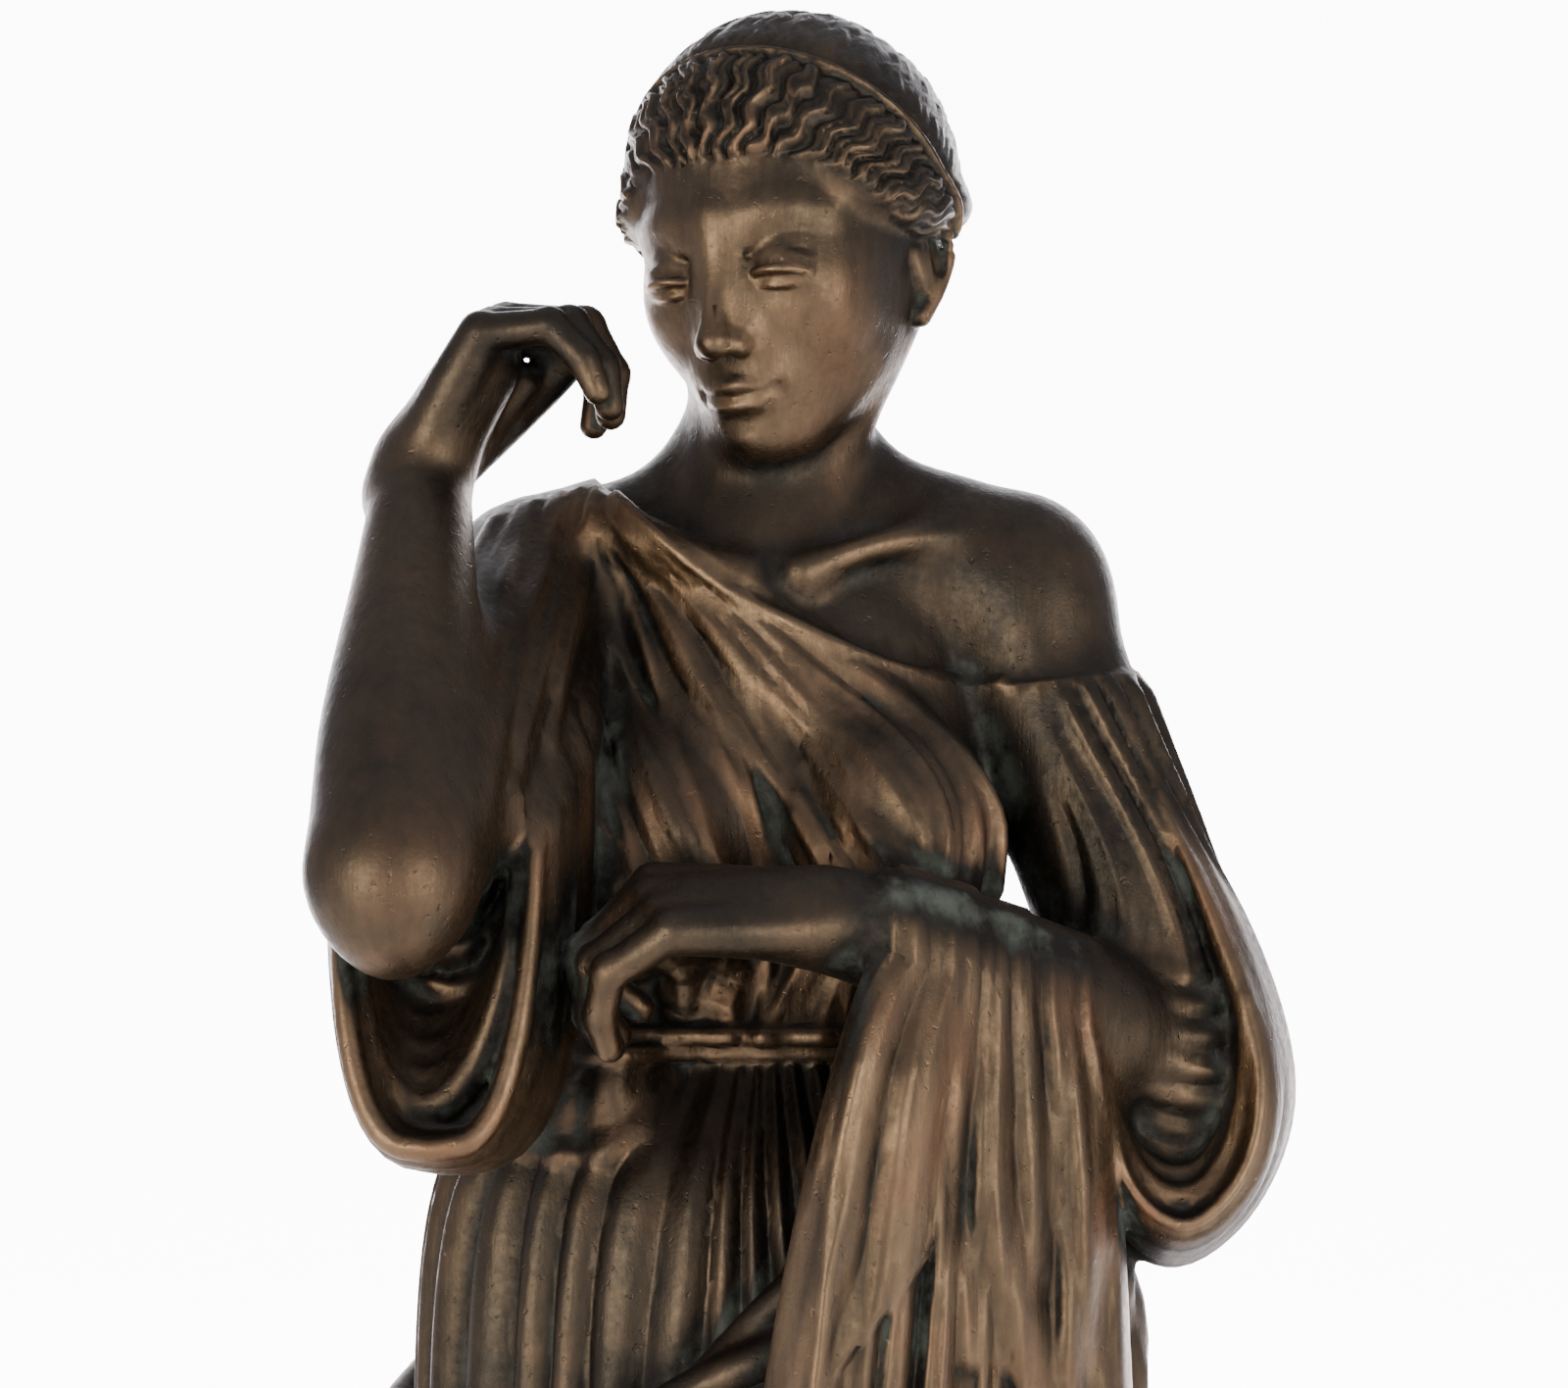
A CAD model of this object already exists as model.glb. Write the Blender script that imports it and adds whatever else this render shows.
import math

import bmesh
import bpy
import numpy as np
import openvdb
from mathutils import Euler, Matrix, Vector


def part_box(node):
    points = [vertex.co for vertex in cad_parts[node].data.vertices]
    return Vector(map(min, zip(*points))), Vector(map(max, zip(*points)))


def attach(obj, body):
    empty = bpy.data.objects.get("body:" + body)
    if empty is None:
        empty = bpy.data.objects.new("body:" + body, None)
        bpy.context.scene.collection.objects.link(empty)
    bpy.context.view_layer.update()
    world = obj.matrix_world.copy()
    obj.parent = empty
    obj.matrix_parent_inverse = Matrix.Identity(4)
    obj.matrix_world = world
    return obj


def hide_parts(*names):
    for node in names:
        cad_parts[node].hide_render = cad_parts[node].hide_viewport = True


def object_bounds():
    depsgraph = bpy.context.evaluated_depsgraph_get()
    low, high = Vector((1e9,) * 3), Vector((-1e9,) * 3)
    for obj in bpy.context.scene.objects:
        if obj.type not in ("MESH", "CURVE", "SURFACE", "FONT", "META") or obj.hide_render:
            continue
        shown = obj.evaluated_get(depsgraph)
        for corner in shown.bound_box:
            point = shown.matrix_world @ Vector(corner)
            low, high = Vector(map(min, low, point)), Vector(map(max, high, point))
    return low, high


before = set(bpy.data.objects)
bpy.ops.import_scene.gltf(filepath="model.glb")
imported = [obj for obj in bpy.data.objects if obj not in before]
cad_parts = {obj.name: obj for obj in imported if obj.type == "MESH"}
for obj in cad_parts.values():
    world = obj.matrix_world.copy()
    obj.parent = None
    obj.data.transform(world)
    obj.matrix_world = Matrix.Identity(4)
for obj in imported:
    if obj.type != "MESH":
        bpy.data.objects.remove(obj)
cadLow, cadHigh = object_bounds()
print("frame loaded")

# The figure is sculpted in steps: one step is a millimetre at this size, counted from the soles.
# x runs to the figure's left, y to its back and z up. The pose is that of the solid it replaces.
figure = {
    "step": 0.001,
    "head": (1, 1, 558.5),
    "headTurn": (16, -3, -28),
    "headScale": 0.95,
    "rightShoulder": (-43, 8, 495),
    "leftShoulder": (43, 8, 497),
    "rightElbow": (-59, -72, 450),
    "leftElbow": (72, -8, 413),
    "rightWrist": (-60, -24, 516),
    "leftWrist": (8, -55, 441),
    "belt": 417,
    "axisY": 5,
    "triangles": 190000,
}
# the grid is finest round the head and hands: each stretch starts at a place and has a spacing
grid = {
    "grain": 1.0,
    "x": [(-96, 0.7), (-40, 0.46), (46, 0.7), (102, 0.7)],
    "y": [(-92, 0.6), (-42, 0.46), (22, 0.8), (64, 0.8)],
    "z": [(-3, 1.0), (340, 0.62), (515, 0.42), (609, 0.42)],
    "far": 40,
    "band": 3.0,
    "rayStep": 0.8,
    "raysAtOnce": 400,
}
rayStart = {"front": -100.0, "back": 80.0, "around": 110, "waist": 50}
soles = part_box("figure")[0].z
headMatrix = np.array(Euler([math.radians(angle) for angle in figure["headTurn"]], "XYZ").to_matrix())


def joint(name):
    return np.array(figure[name], float)


def towards(name, other, share):
    return joint(name) * (1 - share) + joint(other) * share


def spacedAxis(stretches):
    # places along an axis, each stretch with its own spacing
    places = []
    for (start, spacing), following in zip(stretches, stretches[1:]):
        places.extend(np.arange(start, following[0], spacing * grid["grain"]))
    return np.array(places, np.float32)


def smoothPath(points, count):
    # an even walk along a smooth curve through the points
    points = np.array(points, float)
    ends = np.vstack([2 * points[:1] - points[1:2], points, 2 * points[-1:] - points[-2:-1]])
    along = np.linspace(0, len(points) - 1, count)
    span = np.clip(along.astype(int), 0, len(ends) - 4)
    return blendSpan([ends[span + shift] for shift in range(4)], (along - span)[:, None])


def blendSpan(corners, t):
    a, b, c, d = corners
    return 0.5 * (2 * b + (c - a) * t + (2 * a - 5 * b + 4 * c - d) * t**2 + (3 * b - a - 3 * c + d) * t**3)


def smoothRadii(radii, count):
    if len(radii) == 1:
        return np.full(count, float(radii[0]))
    return np.maximum(smoothPath([[radius] for radius in radii], count)[:, 0], 0.25)


def softMin(one, other, blend):
    lower = np.minimum(one, other)
    if blend > 0:
        near = np.maximum(blend - np.abs(one - other), 0)
        lower -= near * near / (4 * blend)
    return lower


class Clay:
    # distances to the skin on a grid of unequal spacing: negative inside

    def __init__(self):
        self.axes = [spacedAxis(grid[name]) for name in "xyz"]
        self.field = np.full([len(axis) for axis in self.axes], grid["far"], np.float32)

    def window(self, low, high):
        return tuple(slice(*np.searchsorted(axis, ends)) for axis, ends in zip(self.axes, zip(low, high)))

    def places(self, window):
        x, y, z = (axis[part] for axis, part in zip(self.axes, window))
        return x[:, None, None], y[None, :, None], z[None, None, :]

    def join(self, window, distance, blend, cut=False):
        if cut:
            self.field[window] = -softMin(-self.field[window], distance, blend)
        else:
            self.field[window] = softMin(self.field[window], distance, blend)

    def ball(self, centre, radii, blend=3.0, turn=None, cut=False):
        centre = np.array(centre, float)
        reach = max(radii) + blend + 5
        window = self.window(centre - reach, centre + reach)
        offsets = [place - np.float32(middle) for place, middle in zip(self.places(window), centre)]
        if turn is not None:
            offsets = [sum(np.float32(turn[row, column]) * offsets[row] for row in range(3))
                       for column in range(3)]
        scaled = sum((offset / np.float32(radius)) ** 2 for offset, radius in zip(offsets, radii))
        steep = sum((offset / np.float32(radius**2)) ** 2 for offset, radius in zip(offsets, radii))
        scaled = np.sqrt(scaled)
        self.join(window, scaled * (scaled - 1) / np.sqrt(steep + 1e-9), blend, cut)

    def rope(self, points, radii, blend=1.5, cut=False):
        # a chain of tapered lengths with round ends
        points = np.asarray(points, float)
        radii = smoothRadii(radii, len(points))
        margin = blend + 2.5 * grid["grain"]
        low = (points - radii[:, None]).min(0) - margin
        high = (points + radii[:, None]).max(0) + margin
        window = self.window(low, high)
        if min(part.stop - part.start for part in window) < 1:
            return
        distance = np.full([part.stop - part.start for part in window], grid["far"], np.float32)
        for start, end, first, last in zip(points, points[1:], radii, radii[1:]):
            reach = max(first, last) + margin
            near = self.window(np.maximum(np.minimum(start, end) - reach, low),
                               np.minimum(np.maximum(start, end) + reach, high))
            along = (end - start) / max(np.dot(end - start, end - start), 1e-9)
            offsets = [place - np.float32(middle) for place, middle in zip(self.places(near), start)]
            share = np.clip(sum(offset * np.float32(part) for offset, part in zip(offsets, along)), 0, 1)
            square = sum((offset - share * np.float32(part)) ** 2
                         for offset, part in zip(offsets, end - start))
            length = np.sqrt(square) - (np.float32(first) + share * np.float32(last - first))
            inner = tuple(slice(part.start - whole.start, part.stop - whole.start)
                          for part, whole in zip(near, window))
            np.minimum(distance[inner], length, out=distance[inner])
        self.join(window, distance, blend, cut)

    def limb(self, points, radii, blend=3.0, cut=False, count=40):
        self.rope(smoothPath(points, count), radii, blend, cut)

    def emboss(self, low, high, height, reach=5.0):
        # moves the skin out by a height that is worked out at each place near it
        window = self.window(low, high)
        part = self.field[window]
        where = np.nonzero(np.abs(part) < reach)
        points = np.stack([axis[piece][place] for axis, piece, place in zip(self.axes, window, where)], 1)
        fade = np.minimum(1, 2 * (1 - np.abs(part[where]) / reach))
        part[where] -= (height(points.astype(float)) * fade).astype(np.float32)

    def sample(self, points):
        whole, part = [], []
        for axis, values in zip(self.axes, points.T):
            place = np.clip(np.interp(values, axis, np.arange(len(axis))), 0, len(axis) - 1.001)
            whole.append(place.astype(int))
            part.append(place - whole[-1])
        total = 0
        for corner in range(8):
            steps = [(corner >> bit) & 1 for bit in range(3)]
            weight = np.prod([share if step else 1 - share for step, share in zip(steps, part)], axis=0)
            total = total + weight * self.field[tuple(index + step for index, step in zip(whole, steps))]
        return total

    def drop(self, starts, directions, reach=150):
        # how far each ray goes before it meets the skin, and nan where it misses
        distances = np.arange(0, reach, grid["rayStep"])
        found = np.full(len(starts), np.nan)
        for first in range(0, len(starts), grid["raysAtOnce"]):
            part = slice(first, first + grid["raysAtOnce"])
            walk = starts[part, None] + directions[part, None] * distances[None, :, None]
            values = self.sample(walk.reshape(-1, 3)).reshape(len(walk), -1)
            inside = values < 0
            hit = inside.argmax(1)
            rows = np.arange(len(walk))
            before = values[rows, np.maximum(hit - 1, 0)]
            after = values[rows, hit]
            share = np.clip(before / np.maximum(before - after, 1e-6), 0, 1)
            length = distances[np.maximum(hit - 1, 0)] + share * grid["rayStep"]
            found[part] = np.where(inside.any(1) & (hit > 0), length, np.nan)
        return found


# Ways to aim a guide: where its rays start and which way they go
def fixed(aims):
    return aims, None


def front(aims):
    starts = np.stack([aims[:, 0], np.full(len(aims), rayStart["front"]), aims[:, 1]], 1)
    return starts, np.tile((0.0, 1.0, 0.0), (len(aims), 1))


def back(aims):
    starts = np.stack([aims[:, 0], np.full(len(aims), rayStart["back"]), aims[:, 1]], 1)
    return starts, np.tile((0.0, -1.0, 0.0), (len(aims), 1))


def around(aims, away=rayStart["around"]):
    # an aim is an angle, 0 in front and 90 on the figure's left, and a height
    turn = np.radians(aims[:, 0])
    outward = np.stack([np.sin(turn), -np.cos(turn), 0 * turn], 1)
    starts = outward * away
    starts[:, 1] += figure["axisY"]
    starts[:, 2] = aims[:, 1]
    return starts, -outward


def aroundWaist(aims):
    return around(aims, rayStart["waist"])


def layFold(clay, style, guides, radii, blend, sink):
    # ropes of cloth laid where rays along the guides meet the skin
    guides = np.array(guides)
    points, directions = style(guides.reshape(-1, guides.shape[2]))
    if directions is not None:
        points = points + directions * clay.drop(points, directions)[:, None]
        directions = directions.reshape(guides.shape[0], guides.shape[1], 3)
    points = points.reshape(guides.shape[0], guides.shape[1], 3)
    for index, line in enumerate(points):
        sizes = smoothRadii(radii[index], len(line))
        met = ~np.isnan(line[:, 0])
        if directions is not None:
            line = line + directions[index] * (sink * sizes)[:, None]
        if met.sum() > 3:
            clay.rope(line[met], sizes[met], blend)


def fan(clay, style, guides, count, radii, blend=2.0, uneven=0.3, sway=0.25, sink=0.35, seed=1, points=36):
    # folds spread from the first guide to the last, with uneven girth and a slow sway
    chance = np.random.RandomState(seed)
    lines = np.array([smoothPath(guide, points) for guide in guides])
    ends = np.concatenate([2 * lines[:1] - lines[1:2], lines, 2 * lines[-1:] - lines[-2:-1]])
    along = np.linspace(0, 1, points)
    folds, girths = [], []
    for index in range(count):
        share = index / max(count - 1, 1) + chance.uniform(-0.25, 0.25) / count
        swing = chance.uniform(0.6, 1.4) * along + chance.uniform(0, 1)
        wander = sway / count * np.sin(2 * math.pi * swing)
        place = np.clip(share + wander, 0, 1) * (len(lines) - 1)
        span = np.clip(place.astype(int), 0, len(lines) - 2)
        corners = [ends[span + shift, np.arange(points)] for shift in range(4)]
        folds.append(blendSpan(corners, (place - span)[:, None]))
        stouter = 1 + uneven * math.cos(math.pi * index) * 0.5 + chance.uniform(-uneven, uneven)
        girths.append([radius * stouter for radius in radii])
    layFold(clay, style, folds, girths, blend, sink)


def pleats(phase, count, sharp=0.8):
    # round ridges with narrow valleys between them, each of its own height
    number = np.mod(np.round(phase), count)
    own = 0.74 + 0.26 * np.sin(12.9898 * number + 0.7)
    return own * np.abs(np.cos(math.pi * phase)) ** sharp


# Head, in its own steps from its middle at eye level, facing -y
def headPoint(points):
    points = np.atleast_2d(np.array(points, float))
    return joint("head") + (points @ headMatrix.T) * figure["headScale"]


def headBall(clay, centre, radii, blend=3.0, cut=False):
    scale = figure["headScale"]
    clay.ball(headPoint(centre)[0], [radius * scale for radius in radii], blend, headMatrix, cut)


def headRope(clay, points, radii, blend=1.5, cut=False, count=20):
    scale = figure["headScale"]
    clay.rope(headPoint(smoothPath(points, count)), [radius * scale for radius in radii], blend, cut)


def modelHead(clay):
    headBall(clay, (0, 7, 8), (27, 32, 31), 2)
    headBall(clay, (0, -3, -6), (21.5, 24.5, 31), 6)
    headBall(clay, (0, -9, -25), (12, 16, 12), 8)
    headBall(clay, (0, -19, -21), (9.5, 8.6, 8.5), 7)
    headBall(clay, (0, -21, -33), (5.6, 6.2, 5.2), 6)
    for side in (-1, 1):
        headBall(clay, (side * 13, -14, -8), (7.6, 7.6, 8), 8)
        headBall(clay, (side * 12, -5, -13), (8, 13, 11), 8)
        jaw = [(side * 15.5, 6, -13), (side * 12.5, -4, -24), (side * 6.0, -16, -32.5)]
        headRope(clay, jaw, [5, 4.6, 4], 7)
        brow = [(side * 3.5, -23.2, 6.2), (side * 10.5, -22.0, 7.8), (side * 18.5, -15, 5.6)]
        headRope(clay, brow, [2.3, 2.2, 2.0], 4)
    for side in (-1, 1):
        headBall(clay, (side * 11.2, -30, -2), (7, 6, 4.8), 3, cut=True)
    neck = np.vstack([headPoint((0, 12, -10)), [(-2, 7, 521)], [(-1, 11, 498)]])
    clay.limb(neck, [13.5, 13.4, 17], 5)
    throat = np.vstack([headPoint((0, -10, -24)), headPoint((0, -2, -38)), [(-2, -3, 505)]])
    clay.limb(throat, [5, 6, 6], 7)
    for side in (-1, 1):
        strap = np.vstack([headPoint((side * 19, 10, -16)), [(side * 9 - 1, 0, 512)], [(side * 5, -11, 497)]])
        clay.limb(strap, [3.4, 3.4, 2.4], 5)
    modelNose(clay)
    for side in (-1, 1):
        modelEye(clay, side)
        modelEar(clay, side)
    modelMouth(clay)


def modelNose(clay):
    headRope(clay, [(0, -24.6, 8), (0, -26.4, 1), (0, -29.6, -7), (0, -32.4, -13)], [3.2, 2.5, 2.5, 2.8], 3)
    headBall(clay, (0, -32.8, -13.8), (3.0, 3.0, 2.7), 2)
    for side in (-1, 1):
        headRope(clay, [(side * 2.8, -25.2, -3), (side * 3.6, -26.6, -12)], [2.0, 2.3], 4)
        headBall(clay, (side * 3.5, -29.2, -14.8), (2.0, 3.2, 2.3), 1.4)
        headBall(clay, (side * 2.0, -31.6, -17.2), (0.9, 1.8, 1.0), 0.7, cut=True)
    headRope(clay, [(0, -30.6, -18.4), (0, -30.2, -20.6)], [0.7, 0.8], 1.4, cut=True)


def modelEye(clay, side):
    # downcast: the upper lid covers most of the ball
    headBall(clay, (side * 11, -20.3, -2.0), (6.5, 6.4, 5.4), 1.4)
    upper = [(side * 5.8, -25.0, -3.4), (side * 8.2, -26.9, -2.6), (side * 11.2, -27.6, -2.3),
             (side * 14.4, -26.2, -2.8), (side * 17.2, -23.0, -4.2)]
    headRope(clay, upper, [0.5, 0.75, 0.85, 0.75, 0.4], 0.9)
    slit = [(side * 6.8, -27.0, -3.9), (side * 11.0, -28.2, -3.5), (side * 15.4, -25.5, -4.4)]
    headRope(clay, slit, [0.35, 0.6, 0.35], 0.4, cut=True)
    lower = [(side * 6.2, -25.0, -4.6), (side * 11, -26.2, -5.4), (side * 16.2, -23.0, -5.2)]
    headRope(clay, lower, [0.5, 0.75, 0.5], 1.1)
    crease = [(side * 6, -25.2, 0.4), (side * 11.2, -26.6, 2.4), (side * 17.4, -21.6, -0.4)]
    headRope(clay, crease, [0.35, 0.5, 0.35], 1.4, cut=True)


def modelMouth(clay):
    for side in (-1, 1):
        upper = [(side * 7.2, -25.4, -24.0), (side * 3.6, -28.0, -22.9), (side * 1.5, -28.8, -22.2),
                 (0, -28.6, -22.6)]
        headRope(clay, upper, [0.5, 1.2, 1.4, 1.3], 1.2)
        headBall(clay, (side * 8.2, -26.2, -24.2), (1.0, 1.0, 1.2), 1.6, cut=True)
    lower = [(-6, -25.6, -25.0), (-3, -27.6, -26.1), (0, -28.2, -26.4), (3, -27.6, -26.1), (6, -25.6, -25.0)]
    headRope(clay, lower, [0.7, 1.5, 1.8, 1.5, 0.7], 1.4)
    parting = [(-7.6, -26.2, -24.1), (-3.8, -29.2, -23.9), (0, -30.0, -24.4), (3.8, -29.2, -23.9),
               (7.6, -26.2, -24.1)]
    headRope(clay, parting, [0.35, 0.5, 0.55, 0.5, 0.35], 0.5, cut=True)
    headBall(clay, (0, -29.6, -29.4), (5, 1.8, 1.5), 2.4, cut=True)


def modelEar(clay, side):
    headBall(clay, (side * 24.5, 10, -8), (2.2, 5.5, 8), 1.5)
    rim = [(side * 23, 5, -3), (side * 26, 8, 1), (side * 28, 13, -1), (side * 27.6, 14, -8),
           (side * 26, 10, -14), (side * 23.5, 6, -18)]
    headRope(clay, rim, [1.3, 1.5, 1.6, 1.5, 1.6, 2.2], 0.8)
    headRope(clay, [(side * 27.2, 10, -3), (side * 27.6, 10, -10)], [1.6, 1.6], 0.8, cut=True)
    headRope(clay, [(side * 24.6, 4.8, -6), (side * 24.8, 5.4, -10)], [1.2, 1.2], 1.0)


# Hair: the hairline's height in degrees at each angle from the face, the fillet's place and slope
hair = {
    "middle": (0, 9, 8.5),
    "size": (31.5, 34.5, 33),
    "girth": 33,
    "toKnot": (0, 0.976, 0.218),
    "hairline": [(0, 20), (30, 17), (50, 5), (65, -10), (80, -20), (95, -25), (115, -31), (140, -42),
                 (180, -50)],
    "locks": 80,
    "lockHeight": 2.5,
    "wave": 7.6,
    "sway": 0.85,
    "fillet": (-12, 41, 0.62),
    "knot": (0, 44, 6),
    "knotSize": (13, 10, 12),
}


def hairFlow(local):
    # place on the cap of hair: how far above the hairline, across the locks, and their relief
    offset = (local - hair["middle"]) / hair["size"]
    length = np.linalg.norm(offset, axis=-1)
    ray = offset / np.maximum(length, 1e-6)[..., None]
    turn = np.degrees(np.arctan2(np.abs(ray[..., 0]), -ray[..., 1]))
    lift = np.degrees(np.arcsin(np.clip(ray[..., 2], -1, 1)))
    line = smoothPath(hair["hairline"], 60)
    above = (lift - np.interp(turn, line[:, 0], line[:, 1])) * 0.56
    knot = np.array(hair["toKnot"])
    polar = np.arccos(np.clip(ray @ knot, -1, 1))
    across = np.arctan2(ray[..., 0], ray[..., 2] * knot[1] - ray[..., 1] * knot[2])
    spread = np.maximum(hair["girth"] * np.sin(polar), 3)
    wave = 2 * math.pi * polar * hair["girth"] / hair["wave"]
    wave = wave + 2.2 * np.sin(5 * across) + 0.7 * np.sin(13 * across + 1)
    swing = hair["sway"] * np.sin(wave) + 0.9 * np.sin(polar * 5 + 2 * across)
    lock = hair["locks"] * (across + swing / spread) / (2 * math.pi)
    merged = np.clip((0.8 - np.sin(polar)) / 0.2, 0, 1)
    tresses = pleats(0.4 * lock, 0.4 * hair["locks"])
    relief = (0.6 * tresses + 0.5 * pleats(lock, hair["locks"])) * (1 - merged) + tresses * merged
    relief += 0.3 * np.abs(np.cos(math.pi * lock / 8 + 0.6))
    return length, above, polar, relief - 0.2


def modelHair(clay):
    low, high = joint("head") - (46, 46, 44), joint("head") + (62, 60, 54)
    window = clay.window(low, high)
    part = clay.field[window]
    where = np.nonzero(part < 9)
    places = np.stack([axis[piece][place] for axis, piece, place in zip(clay.axes, window, where)], 1)
    local = (places - joint("head")) @ headMatrix / figure["headScale"]
    length, above, polar, relief = hairFlow(local)
    tufted = above + 2.2 * relief * np.clip(1 - above / 5, 0, 1)
    cap = np.maximum((length - 1) * 31 + 2.8 * np.exp(-np.maximum(tufted, 0) / 3.0), -tufted)
    part[where] = softMin(part[where], (cap * figure["headScale"]).astype(np.float32), 0.6)
    headBall(clay, hair["knot"], hair["knotSize"], 2)
    for side in (-1, 1):
        swept = [(side * 15, -15, 18), (side * 22, -11, 10), (side * 26, 0, 5), (side * 27, 12, 2),
                 (side * 25, 24, 0), (side * 17, 35, 2)]
        headRope(clay, swept, [1.0, 3.6, 4.8, 4.9, 4.2, 3.0], 3)

    def locks(points):
        local = (points - joint("head")) @ headMatrix / figure["headScale"]
        length, above, polar, relief = hairFlow(local)
        shown = np.clip(above / 2 + 1, 0, 1) * np.clip(2.5 * np.sin(polar), 0, 1)
        side, top, slope = hair["fillet"]
        away = (local[:, 1] - side - (top - local[:, 2]) * slope) / math.hypot(1, slope)
        band = 1.7 * np.exp(-((away / 0.9) ** 4)) - 1.1 * np.exp(-((away / 2.4) ** 2))
        calm = 1 - np.exp(-((away / 1.5) ** 4))
        knot = (local - hair["knot"]) / hair["knotSize"]
        inKnot = np.clip(4 * (local[:, 1] - 37), 0, 1)
        coil = np.hypot(knot[:, 0], knot[:, 2]) * 2.6 + np.arctan2(knot[:, 0], knot[:, 2]) / math.pi
        coils = 1.3 * pleats(coil, 50) + 0.3 * np.abs(np.cos(3 * math.pi * coil))
        fine = np.where(away > 0, 0.34, 1.0)
        onCap = shown * (hair["lockHeight"] * fine * (relief - 0.35) * calm + band * np.clip(above, 0, 1))
        return onCap * (1 - inKnot) + inKnot * coils

    clay.emboss(low, high, locks, 6)


def modelTorso(clay):
    clay.ball((0, 8, 462), (40, 27, 54), 4)
    right, left = joint("rightShoulder"), joint("leftShoulder")
    clay.limb([right, (-20, 9, 501), (22, 9, 503), left], [15.5, 14, 14, 15.5], 8)
    clay.limb([(-38, 10, 501), (-20, 11, 510), (-8, 12, 528)], [8, 8, 7], 9)
    clay.limb([(38, 10, 503), (20, 11, 512), (7, 12, 530)], [8, 8, 7], 9)
    clay.ball(left + (3, 0, -6), (15.5, 16.5, 19), 6)
    for x in (-19, 21):
        clay.ball((x, -16, 451), (17, 14.5, 19), 8)
    clay.ball((1, 5, 414), (33, 25, 42), 8)
    clay.ball((3, 6, 345), (53, 37, 56), 10)
    for side in (-1, 1):
        clay.limb([(side * 5, -14, 499), (side * 20, -10, 504), (side * 38, 2, 507)], [2.4, 2.0, 2.4], 6)
    clay.limb([towards("leftShoulder", "leftElbow", share) for share in (0, 0.5, 1)], [15, 14, 12.5], 5)


# Tunic below the belt: half its width at each height, and how deep it is for its width
skirt = {
    "outline": [(2, 440), (29, 426), (36, 414), (53, 400), (60, 384), (62, 350), (60, 300), (55, 250),
                (54, 180), (56, 100), (61, 30), (63, 0), (63, -6)],
    "depth": 0.72,
    "centre": (0, 6),
    "pleats": 42,
    "gathers": 92,
}


def modelSkirt(clay):
    curve = smoothPath(skirt["outline"], 90)
    window = clay.window((-80, -60, -4), (84, 64, 428))
    x, y, z = clay.places(window)
    radius = np.interp(z, curve[::-1, 1], curve[::-1, 0]).astype(np.float32)
    flat = np.sqrt((x - skirt["centre"][0]) ** 2 + ((y - skirt["centre"][1]) / skirt["depth"]) ** 2)
    clay.join(window, (flat - radius) * 0.86, 6)
    clay.limb([(-22, -6, 310), (-25, -26, 240), (-26, -31, 190), (-28, -24, 120), (-29, -22, 50)],
              [25, 22, 19, 16, 14], 9)
    clay.limb([(28, 0, 300), (28, -8, 200), (28, -8, 60)], [25, 21, 19], 9)


def drapeTunicSkirt(clay):
    top = figure["belt"] - 2

    def folds(points):
        x, y, z = points.T
        turn = np.arctan2(x - skirt["centre"][0], skirt["centre"][1] - y)
        sway = 0.55 * np.sin(3 * turn + z / 70) + 0.2 * np.sin(7 * turn + z / 31)
        sway += 0.09 * np.sin(11 * turn - z / 23)
        deep = np.interp(z, (0, 200, 340, 395, top), (5.0, 4.8, 5.0, 4.2, 1.6))
        coarse = deep * (pleats(skirt["pleats"] * turn / (2 * math.pi) + sway, skirt["pleats"], 0.9) - 0.45)
        fine = np.interp(z, (365, 395, top), (0, 0.5, 1.1))
        gathers = pleats(skirt["gathers"] * turn / (2 * math.pi) + 1.4 * sway, skirt["gathers"])
        gathers = fine * (gathers - 0.4)
        return (coarse + gathers) * np.clip((top - z) / 3, 0, 1)

    clay.emboss((-84, -66, -4), (88, 64, top), folds, 13)


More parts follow.
